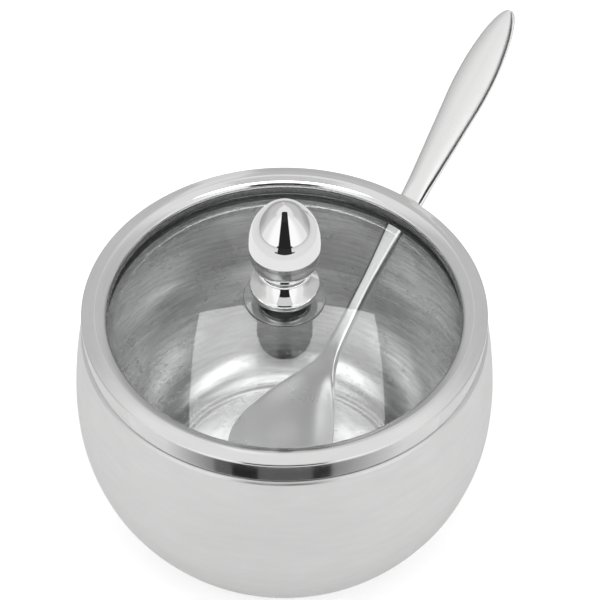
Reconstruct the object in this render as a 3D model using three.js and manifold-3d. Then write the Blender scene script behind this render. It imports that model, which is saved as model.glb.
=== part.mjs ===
// Sugar bowl: a satin steel bowl, a lift-off lid (polished ring, domed glass
// pane, seal, knob and its screw) and a loose spoon that leaves through a
// notch under the lid's ring.
// Millimetres, +Z up. The origin is the centre of the base's underside.
// The spoon lies in the upright plane through the axis at SPOON_AZIMUTH.
import * as THREE from 'three';
import { mergeVertices } from 'three/addons/utils/BufferGeometryUtils.js';
import Module from 'manifold-3d';

const wasm = await Module();
wasm.setup();

// ---- Driving dimensions ----------------------------------------------------
const BOWL_RADIUS = 46.5;       // widest radius of the bowl
const BOWL_WIDEST_Z = 34;       // height of the widest circle
const BASE_RADIUS = 28.5;       // flat underside
const MOUTH_OUT = 43.9;         // outside of the mouth bead
const MOUTH_IN = 42.3;          // inside of the mouth bead
const MOUTH_TOP = 57.2;         // top of the mouth bead
const WIDEST_WALL = 1.2;        // bowl wall at the widest circle
const FLOOR_THICK = 2.0;

const RING_TOP = 62.5;          // outer top corner of the lid ring
const RING_OUT = 43.4;          // outside of the ring's band
const RING_IN = 38.1;           // opening for the glass
const CREST_RADIUS = 40.3;      // crest of the ring's top
const CREST_RISE = 0.4;         // crest above the outer corner
const BAND_THICK = 0.9;
const BAND_BOTTOM = 57.5;       // lower edge of the ring's band
const FLANGE_OUT = 41.6;        // locating flange that drops inside the mouth
const FLANGE_IN = 40.6;
const FLANGE_BOTTOM = 53.5;
const FLANGE_LIP_IN = 39.2;     // inward lip at the flange's foot

const SEAL_OUT = 40.3;          // channel seal round the glass
const SEAL_IN = 38.0;
const SEAL_TOP = 60.6;
const SEAL_BOTTOM = 55.2;
const SEAL_GAP = 0.3;           // room between the pane's edge and its channel

const GLASS_RADIUS = 38.8;
const GLASS_THICK = 2.5;
const GLASS_EDGE_TOP = 58.7;    // upper face at the pane's edge
const GLASS_EDGE_BOTTOM = GLASS_EDGE_TOP - GLASS_THICK;
const GLASS_CENTRE_TOP = 65.0;  // upper face at the pane's centre
const GLASS_HOLE_RADIUS = 2.6;

const KNOB_FOOT = 65.4;         // underside of the knob
const KNOB_TOP = 91.7;          // crown of the knob
const COLLAR_RADIUS = 7.45;
const EGG_RADIUS = 7.45;
const BORE_RADIUS = 1.8;        // blind bore for the screw

const SPOON_AZIMUTH = 50;       // degrees from +X towards +Y
const SPOON_SLOPE = 45;         // degrees above level
const SPOON_ORIGIN_RADIUS = 44.4; // the shank's centre at the lid's edge
const SPOON_ORIGIN_Z = 59.6;
const SPOON_OUT = 49.0;         // length beyond that point
const SPOON_IN = 80.0;          // length inside it
const SHANK_THICK = 2.0;
const NOTCH_WIDTH = 7.4;        // width of the notch for the shank
const NOTCH_GAP = 0.45;         // room between the shank and the notch

const RING_STEPS = 64;          // steps round the large rings
const KNOB_STEPS = 32;          // steps round the knob, washers and screw

// ---- Materials -------------------------------------------------------------
const standard = (settings) => new THREE.MeshStandardMaterial(settings);
const metal = (settings) => standard({ metalness: 1, ...settings });
const nonMetal = (settings) => standard({ metalness: 0, ...settings });

const MATERIALS = {
  bowl: metal({ name: 'satin_steel', color: 0xc9c8c4, roughness: 0.38 }),
  ring: metal({ name: 'polished_steel', color: 0xd8d8d8, roughness: 0.08 }),
  glass: nonMetal({
    name: 'clear_glass', color: 0xeaf2f0, roughness: 0.02, transparent: true, opacity: 0.35,
  }),
  seal: nonMetal({ name: 'dark_silicone', color: 0x1f2022, roughness: 0.6 }),
  knob: metal({ name: 'polished_steel_knob', color: 0xd8d8d8, roughness: 0.06 }),
  topGasket: nonMetal({ name: 'clear_silicone', color: 0xb9bcbc, roughness: 0.45 }),
  underGasket: nonMetal({ name: 'clear_silicone_low', color: 0xb9bcbc, roughness: 0.45 }),
  backing: metal({ name: 'plate_steel', color: 0xc2c2c2, roughness: 0.25 }),
  screw: metal({ name: 'screw_steel', color: 0xb8b8b8, roughness: 0.3 }),
  spoon: metal({ name: 'spoon_steel', color: 0xd2d1ce, roughness: 0.22 }),
};

// ---- Turned bodies and cuts ------------------------------------------------
// Makes the faces of a closed, indexed geometry point outward.
function outward(geometry) {
  const index = geometry.index.array;
  const position = geometry.attributes.position;
  const corner = (i) => new THREE.Vector3().fromBufferAttribute(position, index[i]);
  let volume = 0;
  for (let i = 0; i < index.length; i += 3) {
    volume += corner(i).dot(corner(i + 1).cross(corner(i + 2)));
  }
  if (volume > 0) return geometry;

  for (let i = 0; i < index.length; i += 3) {
    [index[i + 1], index[i + 2]] = [index[i + 2], index[i + 1]];
  }
  geometry.computeVertexNormals();
  return geometry;
}

// A profile of [radius, z] points turned round +Z, listed in either direction.
// A profile that does not end on the axis at both ends is closed on itself.
function turned(profile, steps) {
  const points = profile.map(([radius, z]) => new THREE.Vector2(radius, z));
  const onAxis = points[0].x === 0 && points[points.length - 1].x === 0;
  if (!onAxis) points.push(points[0].clone());
  const geometry = new THREE.LatheGeometry(points, steps);
  geometry.rotateX(Math.PI / 2); // the lathe's +Y becomes +Z
  return outward(geometry);
}

// Welds a geometry and drops its collapsed triangles, ready for cutting.
function toManifold(geometry) {
  const bare = geometry.clone();
  bare.deleteAttribute('normal');
  bare.deleteAttribute('uv');
  const welded = mergeVertices(bare, 1e-5);
  const index = welded.index.array;
  const triangles = [];
  for (let i = 0; i < index.length; i += 3) {
    const corners = [index[i], index[i + 1], index[i + 2]];
    if (new Set(corners).size === 3) triangles.push(...corners);
  }
  return new wasm.Manifold(new wasm.Mesh({
    numProp: 3,
    vertProperties: new Float32Array(welded.attributes.position.array),
    triVerts: new Uint32Array(triangles),
  }));
}

function cut(target, cutter) {
  const mesh = toManifold(target).subtract(toManifold(cutter)).getMesh();
  const positions = new Float32Array(mesh.vertProperties);
  const geometry = new THREE.BufferGeometry();
  geometry.setAttribute('position', new THREE.BufferAttribute(positions, 3));
  geometry.setIndex(new THREE.BufferAttribute(new Uint32Array(mesh.triVerts), 1));
  geometry.computeVertexNormals();
  return geometry;
}

// ---- Spoon frame -----------------------------------------------------------
// x runs across the shank, y along it (outward and up), z square to both, up.
const azimuth = THREE.MathUtils.degToRad(SPOON_AZIMUTH);
const slope = THREE.MathUtils.degToRad(SPOON_SLOPE);
const across = new THREE.Vector3(Math.sin(azimuth), -Math.cos(azimuth), 0);
const along = new THREE.Vector3(
  Math.cos(slope) * Math.cos(azimuth),
  Math.cos(slope) * Math.sin(azimuth),
  Math.sin(slope),
);
const over = new THREE.Vector3().crossVectors(across, along);
const spoonOrigin = new THREE.Vector3(
  SPOON_ORIGIN_RADIUS * Math.cos(azimuth),
  SPOON_ORIGIN_RADIUS * Math.sin(azimuth),
  SPOON_ORIGIN_Z,
);
const spoonFrame = new THREE.Matrix4().makeBasis(across, along, over).setPosition(spoonOrigin);

// A cutting bar along the shank with rounded upper corners. start and end lie
// along the shank; below and above are measured from its centre line.
function notchBar({ start, end, below, above }) {
  const side = NOTCH_WIDTH / 2;
  const cornerDrop = 1.2;
  const cornerInset = 1.4;
  const section = new THREE.Shape();
  section.moveTo(-side, -below);
  section.lineTo(side, -below);
  section.lineTo(side, above - cornerDrop);
  section.quadraticCurveTo(side, above, side - cornerInset, above);
  section.lineTo(-side + cornerInset, above);
  section.quadraticCurveTo(-side, above, -side, above - cornerDrop);
  section.closePath();
  const bar = new THREE.ExtrudeGeometry(section, {
    depth: end - start, bevelEnabled: false, curveSegments: 4,
  });
  bar.rotateX(Math.PI / 2); // the section stands upright, the depth runs along -y
  bar.translate(0, end, 0);
  return bar.applyMatrix4(spoonFrame);
}

const NOTCH_REACH = SHANK_THICK / 2 + NOTCH_GAP;
const mouthDip = notchBar({ start: -6, end: 3, below: NOTCH_REACH, above: 8 });
// The lid's notch reaches well below the shank, so the lid lifts straight off.
const lidNotch = notchBar({ start: -9, end: 6, below: 14, above: NOTCH_REACH });

// ---- Bowl ------------------------------------------------------------------
// [radius, z], up the outside from the base
const BOWL_OUTSIDE = [
  [BASE_RADIUS, 0], [BASE_RADIUS + 1.9, 0.45], [32.3, 1.7], [36.4, 5.6], [39.4, 9.6],
  [42.0, 14.2], [44.1, 19.2], [45.6, 25.0], [46.3, 29.6], [BOWL_RADIUS, BOWL_WIDEST_Z],
  [46.4, 39.0], [45.9, 44.6], [45.2, 50.0], [44.4, 54.6], [MOUTH_OUT, 56.6],
];
// [radius, z], down the inside from the mouth
const BOWL_INSIDE = [
  [MOUTH_IN, 56.7], [42.5, 54.6], [43.9, 50.0], [44.75, 44.6], [45.25, 39.0],
  [BOWL_RADIUS - WIDEST_WALL, BOWL_WIDEST_Z], [45.15, 29.6], [44.4, 25.0], [42.9, 19.8],
  [40.9, 15.0], [38.3, 10.4], [35.3, 6.6], [31.5, 3.5], [29.6, 2.45],
];

function bowlBody() {
  const profile = [
    [0, 0],
    ...BOWL_OUTSIDE,
    [MOUTH_OUT - 0.35, MOUTH_TOP], [MOUTH_IN + 0.5, MOUTH_TOP],
    ...BOWL_INSIDE,
    // low bead round the floor
    [28.6, 2.45], [28.1, FLOOR_THICK + 0.3], [27.5, FLOOR_THICK],
    [0, FLOOR_THICK],
  ];
  return cut(turned(profile, RING_STEPS), mouthDip);
}

// ---- Lid ring --------------------------------------------------------------
function lidRing() {
  const bandIn = RING_OUT - BAND_THICK;
  const profile = [
    // outside of the band and over the crest to the opening
    [RING_OUT, BAND_BOTTOM + 0.2], [RING_OUT, RING_TOP - 0.25], [RING_OUT - 0.2, RING_TOP],
    [41.9, RING_TOP + 0.22], [CREST_RADIUS, RING_TOP + CREST_RISE], [39.2, RING_TOP - 0.05],
    [RING_IN + 0.25, RING_TOP - 0.62], [RING_IN, RING_TOP - 0.9], [RING_IN, SEAL_TOP + 0.3],
    // down the inside of the flange, round its lip and up the outside
    [FLANGE_IN, SEAL_TOP + 0.3], [FLANGE_IN, FLANGE_BOTTOM + 1.5],
    [FLANGE_LIP_IN, FLANGE_BOTTOM + 1.4], [FLANGE_LIP_IN, FLANGE_BOTTOM + 0.5],
    [40.4, FLANGE_BOTTOM], [FLANGE_OUT - 0.4, FLANGE_BOTTOM],
    [FLANGE_OUT, FLANGE_BOTTOM + 0.5], [FLANGE_OUT, SEAL_TOP + 0.2],
    // inside of the band
    [bandIn, SEAL_TOP + 0.2], [bandIn, BAND_BOTTOM], [RING_OUT - 0.2, BAND_BOTTOM],
  ];
  return cut(turned(profile, RING_STEPS), lidNotch);
}

// ---- Glass -----------------------------------------------------------------
// The dome follows a circle through the pane's upper edge and centre.
const domeRise = GLASS_CENTRE_TOP - GLASS_EDGE_TOP;
const domeRadius = (GLASS_RADIUS * GLASS_RADIUS + domeRise * domeRise) / (2 * domeRise);
const glassTop = (radius) => (
  GLASS_CENTRE_TOP - (domeRadius - Math.sqrt(domeRadius * domeRadius - radius * radius))
);
const glassUnderside = (radius) => glassTop(radius) - GLASS_THICK;

function lidGlass() {
  const radii = [GLASS_HOLE_RADIUS, 9.2, 17, 25, 32, GLASS_RADIUS - 0.4];
  const edgeChamfer = 0.35;
  const profile = [
    ...radii.map((radius) => [radius, glassTop(radius)]),
    [GLASS_RADIUS, GLASS_EDGE_TOP - edgeChamfer],
    [GLASS_RADIUS, GLASS_EDGE_BOTTOM + edgeChamfer],
    ...radii.map((radius) => [radius, glassUnderside(radius)]).reverse(),
  ];
  return turned(profile, RING_STEPS);
}

// ---- Seal ------------------------------------------------------------------
function lidSeal() {
  const channelRadius = GLASS_RADIUS + SEAL_GAP;
  const lowerIn = SEAL_IN + 0.2;
  const profile = [
    [SEAL_OUT, SEAL_BOTTOM], [SEAL_OUT, SEAL_TOP],
    [SEAL_IN, SEAL_TOP], [SEAL_IN, GLASS_EDGE_TOP + 0.75],
    [channelRadius, GLASS_EDGE_TOP + SEAL_GAP], [channelRadius, GLASS_EDGE_BOTTOM - SEAL_GAP],
    [lowerIn, GLASS_EDGE_BOTTOM - 0.25], [lowerIn, SEAL_BOTTOM],
  ];
  return cut(turned(profile, RING_STEPS), lidNotch);
}

// ---- Knob ------------------------------------------------------------------
const KNOB_HEIGHT = KNOB_TOP - KNOB_FOOT;
// [radius, height above the knob's foot]
const KNOB_PROFILE = [
  // blind bore, from its end down to the foot
  [0, 8.6], [BORE_RADIUS - 0.5, 8.4], [BORE_RADIUS, 7.9], [BORE_RADIUS, 0],
  // collar
  [4.6, 0], [5.7, 0.6], [6.7, 1.5], [7.3, 2.5], [COLLAR_RADIUS, 3.4], [7.2, 4.1], [6.3, 4.7],
  // neck
  [5.3, 5.4], [4.6, 6.3], [4.4, 7.3], [4.6, 8.1],
  // egg
  [5.6, 8.7], [6.4, 9.7], [7.0, 10.9], [7.3, 12.3], [EGG_RADIUS - 0.03, 13.6],
  [EGG_RADIUS, 14.65], [EGG_RADIUS - 0.06, 16], [7.26, 17.6], [6.74, 20], [5.7, 22.1],
  [4.42, 23.8], [2.95, 25.15], [1.35, KNOB_HEIGHT - 0.35], [0, KNOB_HEIGHT],
];

function knobBody() {
  const profile = KNOB_PROFILE.map(([radius, height]) => [radius, KNOB_FOOT + height]);
  return turned(profile, KNOB_STEPS);
}

// ---- Washers and screw -----------------------------------------------------
const TOP_GASKET_RADIUS = 8.8;
const UNDER_GASKET_RADIUS = 5.3;
const WASHER_GAP = 0.04;        // between a gasket and the steel against it
const BACKING_RADIUS = 5.6;
const BACKING_THICK = 1.0;
const SCREW_RADIUS = 1.5;
const SOCKET_RADIUS = 1.1;      // recess in the underside of the screw's head

const underGasketBottom = glassUnderside(UNDER_GASKET_RADIUS) - 0.8;
const backingTop = underGasketBottom - WASHER_GAP;
const backingBottom = backingTop - BACKING_THICK;

// Soft washer that follows the pane's dome out past the knob's foot.
function topGasket() {
  const rim = glassTop(TOP_GASKET_RADIUS);
  const top = KNOB_FOOT - WASHER_GAP;
  return turned([
    [GLASS_HOLE_RADIUS, GLASS_CENTRE_TOP + 0.03], [4.6, glassTop(4.6) + 0.05],
    [TOP_GASKET_RADIUS - 0.15, rim + 0.05], [TOP_GASKET_RADIUS, rim + 0.15],
    [TOP_GASKET_RADIUS, rim + 0.32], [TOP_GASKET_RADIUS - 0.2, rim + 0.42],
    [4.6, top], [GLASS_HOLE_RADIUS, top],
  ], KNOB_STEPS);
}

// Small soft washer against the pane's underside.
function underGasket() {
  const glassGap = 0.06;
  return turned([
    [GLASS_HOLE_RADIUS, glassUnderside(GLASS_HOLE_RADIUS) - glassGap],
    [UNDER_GASKET_RADIUS, glassUnderside(UNDER_GASKET_RADIUS) - glassGap],
    [UNDER_GASKET_RADIUS, underGasketBottom], [GLASS_HOLE_RADIUS, underGasketBottom],
  ], KNOB_STEPS);
}

function backingWasher() {
  const holeRadius = 2.2;
  return turned([
    [holeRadius, backingTop], [BACKING_RADIUS - 0.2, backingTop],
    [BACKING_RADIUS, backingTop - 0.2], [BACKING_RADIUS, backingBottom + 0.25],
    [BACKING_RADIUS - 0.25, backingBottom], [holeRadius, backingBottom],
  ], KNOB_STEPS);
}

function knobScrew() {
  const socketEnd = backingBottom - 1.3;
  const headTop = backingBottom - 0.05;
  const tip = KNOB_FOOT + 7.6;
  return turned([
    [0, socketEnd], [SOCKET_RADIUS, socketEnd], [SOCKET_RADIUS, backingBottom - 2.6],
    [2.9, backingBottom - 2.5], [3.6, backingBottom - 1.7], [3.7, backingBottom - 0.3],
    [3.4, headTop], [SCREW_RADIUS, headTop], [SCREW_RADIUS, tip - 0.6], [1.1, tip], [0, tip],
  ], KNOB_STEPS);
}

// ---- Spoon -----------------------------------------------------------------
// Both tables: [place along the spoon, half width, thickness, cup, lift].
// The section is a shallow dish whose middle hangs below its edges by the cup;
// the lift raises the whole section.
// Cup end, placed by distance from the spoon's inner tip
const CUP_STATIONS = [
  [0.15, 1.6, 0.9, 0.0, 0.9], [0.9, 4.6, 1.1, 0.2, 0.75], [2.6, 7.8, 1.15, 0.75, 0.5],
  [5.2, 10.5, 1.2, 1.6, 0.25], [8.8, 12.8, 1.2, 2.5, 0.05], [13.0, 13.9, 1.2, 3.4, 0],
  [17.5, 13.2, 1.2, 4.2, 0], [22.0, 11.4, 1.2, 4.6, 0], [26.5, 9.2, 1.25, 4.2, 0],
  [30.5, 6.9, 1.35, 3.0, -0.1], [34.0, 4.8, 1.5, 1.6, -0.25], [37.2, 3.1, 1.7, 0.6, -0.35],
  [40.5, 2.2, 1.9, 0.15, -0.32],
];
// Shank and handle, placed from the spoon's origin
const SHANK_STATIONS = [
  [-35.5, 1.9, SHANK_THICK, 0, -0.19], [-31.5, 1.75, SHANK_THICK, 0, -0.06],
  [-27.5, 1.7, SHANK_THICK, 0, 0], [-20, 1.7, SHANK_THICK, 0, 0],
  [-12, 2.15, SHANK_THICK, 0, 0], [-5, 2.7, SHANK_THICK, 0, 0], [1, 3.0, SHANK_THICK, 0, 0],
  [5.7, 3.2, 1.95, 0, 0], [10, 3.5, 1.9, 0, 0], [16, 3.93, 1.85, 0, 0], [22, 4.35, 1.8, 0, 0],
  [28.5, 4.8, 1.75, 0, 0], [34.5, 4.72, 1.7, 0, 0], [39.5, 4.2, 1.7, 0, 0],
  [44, 3.3, 1.6, 0, 0], [47, 2.2, 1.5, 0, 0],
  [SPOON_OUT - 0.5, 1.1, 1.3, 0, 0], [SPOON_OUT, 0.45, 1.1, 0, 0],
];
const SPOON_STRIPS = 6; // strips from edge to edge

// One closed section: the upper face towards +x, then the lower face back.
function spoonSection([place, halfWidth, thickness, cup, lift]) {
  const upper = [];
  const lower = [];
  for (let i = 0; i <= SPOON_STRIPS; i++) {
    const x = -1 + (2 * i) / SPOON_STRIPS;
    const middle = lift - cup * (1 - x * x);
    // thins towards the edges, down to half the thickness
    const halfThick = 0.5 * thickness * Math.sqrt(Math.max(0.25, 1 - x ** 4));
    upper.push([x * halfWidth, place, middle + halfThick]);
    lower.unshift([x * halfWidth, place, middle - halfThick]);
  }
  return [...upper, ...lower];
}

function spoonBody() {
  const sections = [
    ...CUP_STATIONS.map(([fromTip, ...shape]) => [fromTip - SPOON_IN, ...shape]),
    ...SHANK_STATIONS,
  ].map(spoonSection);
  const count = sections[0].length;
  const lastStart = (sections.length - 1) * count;
  const index = [];

  // skin between neighbouring sections
  for (let start = 0; start < lastStart; start += count) {
    for (let i = 0; i < count; i++) {
      const near = start + i;
      const nearNext = start + ((i + 1) % count);
      const far = near + count;
      const farNext = nearNext + count;
      index.push(near, nearNext, farNext, near, farNext, far);
    }
  }

  // end caps, strip by strip
  for (const start of [0, lastStart]) {
    for (let i = 0; i < SPOON_STRIPS; i++) {
      const upper = start + i;
      const upperNext = upper + 1;
      const lower = start + count - 1 - i;
      const lowerNext = lower - 1;
      if (start === 0) index.push(upper, lower, upperNext, upperNext, lower, lowerNext);
      else index.push(upper, upperNext, lower, upperNext, lowerNext, lower);
    }
  }

  const geometry = new THREE.BufferGeometry();
  geometry.setAttribute('position', new THREE.Float32BufferAttribute(sections.flat(2), 3));
  geometry.setIndex(index);
  geometry.computeVertexNormals();
  return geometry;
}

// ---- Assembly --------------------------------------------------------------
function piece(name, geometry, material) {
  const mesh = new THREE.Mesh(geometry, material);
  mesh.name = name;
  return mesh;
}

function group(name, ...children) {
  const parent = new THREE.Group();
  parent.name = name;
  return parent.add(...children);
}

const spoon = piece('spoon', spoonBody(), MATERIALS.spoon);
spoon.quaternion.setFromRotationMatrix(spoonFrame);
spoon.position.copy(spoonOrigin);

const sugarBowl = group(
  'sugar_bowl',
  group('bowl', piece('bowl_body', bowlBody(), MATERIALS.bowl)),
  group(
    'lid',
    piece('lid_ring', lidRing(), MATERIALS.ring),
    piece('lid_seal', lidSeal(), MATERIALS.seal),
    piece('lid_glass', lidGlass(), MATERIALS.glass),
    piece('knob_gasket', topGasket(), MATERIALS.topGasket),
    piece('knob', knobBody(), MATERIALS.knob),
    piece('under_gasket', underGasket(), MATERIALS.underGasket),
    piece('backing_washer', backingWasher(), MATERIALS.backing),
    piece('knob_screw', knobScrew(), MATERIALS.screw),
  ),
  group('spoon_group', spoon),
);

export default sugarBowl;
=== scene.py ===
"""A steel bowl with a glass lid, a knob and a serving spoon, on a white studio stage.

The bowl stands on z = 0 with its axis on Z. The ring, seal, dished glass and knob sit on
that same axis. The spoon passes out through a notch in the ring, towards +X +Y, and its
handle rises at 45 degrees. The camera looks down from -Y. Profiles are in millimetres
and meshes, cards and lights in metres.
"""
import bpy
import bmesh
import math
import numpy as np
from mathutils import Matrix, Vector


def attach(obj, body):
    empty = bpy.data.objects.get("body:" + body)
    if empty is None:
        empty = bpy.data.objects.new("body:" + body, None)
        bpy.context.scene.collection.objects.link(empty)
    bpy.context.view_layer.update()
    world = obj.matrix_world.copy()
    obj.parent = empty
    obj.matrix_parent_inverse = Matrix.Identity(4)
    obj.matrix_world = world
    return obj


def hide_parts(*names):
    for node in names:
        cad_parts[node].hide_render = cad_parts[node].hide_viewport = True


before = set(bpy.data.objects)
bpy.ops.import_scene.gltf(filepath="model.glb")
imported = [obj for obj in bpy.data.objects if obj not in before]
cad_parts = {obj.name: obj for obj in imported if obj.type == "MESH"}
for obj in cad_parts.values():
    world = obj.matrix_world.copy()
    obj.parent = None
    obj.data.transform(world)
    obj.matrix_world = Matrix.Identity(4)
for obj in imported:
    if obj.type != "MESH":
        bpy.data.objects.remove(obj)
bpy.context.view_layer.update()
scene = bpy.context.scene

MM = 0.001
DEGREES = 180 / math.pi
LARGE_STEPS = 256   # round the bowl, ring, seal and glass
SMALL_STEPS = 144    # round the knob, washers and screw
SHARP_ANGLE = math.radians(38)

# --------------------------------------------------------------- dimensions --

GLASS_TOP = 65.0           # height of the crown
GLASS_EDGE = 58.7          # height of the upper face at the rim
GLASS_THICKNESS = 2.5
GLASS_RADIUS = 38.8
HOLE_RADIUS = 2.6          # hole for the screw, in the glass and both gaskets

KNOB_FOOT = 65.4
KNOB_TOP = 91.7
TOP_GASKET_RADIUS = 8.8
LOW_GASKET_RADIUS = 5.3

SPOON_HEADING = math.radians(50)   # from +X towards +Y
SPOON_SLOPE = math.radians(45)
SPOON_REACH = 44.4         # spoon origin from the axis
SPOON_HEIGHT = 59.6        # spoon origin above the floor
SPOON_TIP = 80.0           # tip of the spoon from the spoon origin

SLOT_WIDTH = 7.4           # cuts for the shank in the bowl, ring and seal
SLOT_CLEARANCE = 1.45      # from the middle of the shank to the end of each cut
SLOT_CORNER = 1.3

# ----------------------------------------------------------------- profiles --


def catmull(points, steps):
    """Centripetal Catmull-Rom curve through the points, `steps` per span."""
    points = [np.array(point, float) for point in points]
    extended = [2 * points[0] - points[1]] + points + [2 * points[-1] - points[-2]]
    out = []
    for i in range(1, len(extended) - 2):
        a, b, c, d = extended[i - 1:i + 3]
        t0 = 0.0
        t1 = t0 + np.linalg.norm(b - a) ** 0.5
        t2 = t1 + np.linalg.norm(c - b) ** 0.5
        t3 = t2 + np.linalg.norm(d - c) ** 0.5
        for t in np.linspace(t1, t2, steps, endpoint=False):
            a1 = (t1 - t) / (t1 - t0) * a + (t - t0) / (t1 - t0) * b
            a2 = (t2 - t) / (t2 - t1) * b + (t - t1) / (t2 - t1) * c
            a3 = (t3 - t) / (t3 - t2) * c + (t - t2) / (t3 - t2) * d
            b1 = (t2 - t) / (t2 - t0) * a1 + (t - t0) / (t2 - t0) * a2
            b2 = (t3 - t) / (t3 - t1) * a2 + (t - t1) / (t3 - t1) * a3
            out.append((t2 - t) / (t2 - t1) * b1 + (t - t1) / (t2 - t1) * b2)
    out.append(points[-1])
    return out


def walk(path, distance):
    """Index of the next point and the place reached after `distance` along the path."""
    walked = 0.0
    for i in range(len(path) - 1):
        length = np.linalg.norm(path[i + 1] - path[i])
        if walked + length >= distance:
            t = (distance - walked) / length
            return i + 1, path[i] + (path[i + 1] - path[i]) * t
        walked += length
    return len(path) - 1, path[-1]   # a path shorter than the distance


def curve(points, rounding=0.0):
    """A smooth run of (r, z) points, with the rounding of the corner at its end."""
    return points, True, rounding


def line(points, rounding=0.0):
    """A straight-sided run of (r, z) points, with the rounding at its end."""
    return points, False, rounding


def edges(*corners):
    """One straight run to each corner, given as (r, z, rounding)."""
    return [line([(r, z)], rounding) for r, z, rounding in corners]


def profile(start, runs, steps=6):
    """Outline from `start` through the runs. Each run begins where the last one ends."""
    paths = []
    for points, is_smooth, _ in runs:
        path = [start, *points]
        start = path[-1]
        if is_smooth:
            paths.append(catmull(path, steps))
        else:
            paths.append([np.array(point, float) for point in path])
    out = [paths[0][0]]
    for i, (_, _, rounding) in enumerate(runs):
        path = paths[i]
        if rounding == 0:
            out += path[1:]
            continue
        following = paths[i + 1]
        corner = path[-1]
        dropped, before = walk(path[::-1], rounding)
        resumed, after = walk(following, rounding)
        out += path[1:len(path) - dropped]
        for t in np.linspace(0, 1, 7):
            out.append((1 - t) ** 2 * before + 2 * t * (1 - t) * corner + t * t * after)
        paths[i + 1] = [after] + following[resumed:]
    clean = [out[0]]
    for point in out[1:]:
        if np.linalg.norm(point - clean[-1]) > 1e-4:
            clean.append(point)
    return clean


def rounded_loop(points, rounding=0.08):
    """Closed straight-sided outline, every corner but the first rounded."""
    return profile(points[0], edges(*[(r, z, rounding) for r, z in points[1:]],
                                    (*points[0], 0)))


# ------------------------------------------------------------------- meshes --


def new_object(name, mesh):
    obj = bpy.data.objects.new(name, mesh)
    scene.collection.objects.link(obj)
    return obj


def object_from_bmesh(name, bm, materials=()):
    mesh = bpy.data.meshes.new(name)
    bm.to_mesh(mesh)
    bm.free()
    for material in materials:
        mesh.materials.append(material)
    return new_object(name, mesh)


def lathe(name, points, steps, materials, pick=None):
    """Solid of revolution from an outline that runs from axis to axis or is a closed
    loop. pick(r, z) gives a face's material index."""
    closed = not (points[0][0] < 1e-6 and points[-1][0] < 1e-6)
    if closed and np.linalg.norm(points[0] - points[-1]) < 1e-4:
        points = points[:-1]
    # counter-clockwise in (r, z) gives outward normals
    area = 0.0
    for i, a in enumerate(points):
        b = points[(i + 1) % len(points)]
        area += a[0] * b[1] - b[0] * a[1]
    if area < 0:
        points = points[::-1]
    angles = [2 * math.pi * k / steps for k in range(steps)]
    turns = [(math.cos(angle), math.sin(angle)) for angle in angles]
    bm = bmesh.new()
    rows = []
    for r, z in points:
        if r < 1e-6:
            rows.append([bm.verts.new((0, 0, z * MM))])
        else:
            rows.append([bm.verts.new((r * MM * c, r * MM * s, z * MM)) for c, s in turns])
    for i in range(len(rows) if closed else len(rows) - 1):
        a, b = rows[i], rows[(i + 1) % len(rows)]
        for k in range(steps):
            k2 = (k + 1) % steps
            if len(a) == 1:
                face = bm.faces.new((a[0], b[k2], b[k]))
            elif len(b) == 1:
                face = bm.faces.new((a[k], a[k2], b[0]))
            else:
                face = bm.faces.new((a[k], a[k2], b[k2], b[k]))
            face.smooth = True
            if pick:
                middle = face.calc_center_median()
                face.material_index = pick(math.hypot(middle.x, middle.y) / MM, middle.z / MM)
    return object_from_bmesh(name, bm, materials)


def subtract(obj, cutter):
    """Cut one object out of another and apply the result."""
    boolean = obj.modifiers.new("cut", "BOOLEAN")
    boolean.operation = "DIFFERENCE"
    boolean.solver = "EXACT"
    boolean.object = cutter
    depsgraph = bpy.context.evaluated_depsgraph_get()
    mesh = bpy.data.meshes.new_from_object(obj.evaluated_get(depsgraph))
    old = obj.data
    obj.modifiers.clear()
    obj.data = mesh
    mesh.name = old.name


# ------------------------------------------------------------- spoon's frame --

ALONG = Vector((math.cos(SPOON_SLOPE) * math.cos(SPOON_HEADING),
                math.cos(SPOON_SLOPE) * math.sin(SPOON_HEADING),
                math.sin(SPOON_SLOPE)))
ACROSS = Vector((math.sin(SPOON_HEADING), -math.cos(SPOON_HEADING), 0))
OVER = ACROSS.cross(ALONG)
SPOON_ORIGIN = Vector((SPOON_REACH * math.cos(SPOON_HEADING),
                       SPOON_REACH * math.sin(SPOON_HEADING), SPOON_HEIGHT)) * MM
SPOON_MATRIX = Matrix([(ACROSS[i], ALONG[i], OVER[i], SPOON_ORIGIN[i]) for i in range(3)]
                      + [(0, 0, 0, 1)])


def spoon_point(across, along, over):
    return SPOON_MATRIX @ Vector((across * MM, along * MM, over * MM))


def bar_cutter(start, end, below, above):
    """A bar along the shank with rounded upper corners."""
    half = SLOT_WIDTH / 2
    section = [(-half, -below), (half, -below)]
    for centre, first in ((half - SLOT_CORNER, 0), (-half + SLOT_CORNER, math.pi / 2)):
        for angle in np.linspace(first, first + math.pi / 2, 7):
            section.append((centre + SLOT_CORNER * math.cos(angle),
                            above - SLOT_CORNER + SLOT_CORNER * math.sin(angle)))
    bm = bmesh.new()
    near, far = ([bm.verts.new(spoon_point(x, along, z)) for x, z in section]
                 for along in (start, end))
    bm.faces.new(near)
    bm.faces.new(far[::-1])
    for i in range(len(section)):
        j = (i + 1) % len(section)
        bm.faces.new((near[j], near[i], far[i], far[j]))
    bmesh.ops.recalc_face_normals(bm, faces=bm.faces)
    return object_from_bmesh("cutter", bm)


# -------------------------------------------------------------- node helpers --


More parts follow.
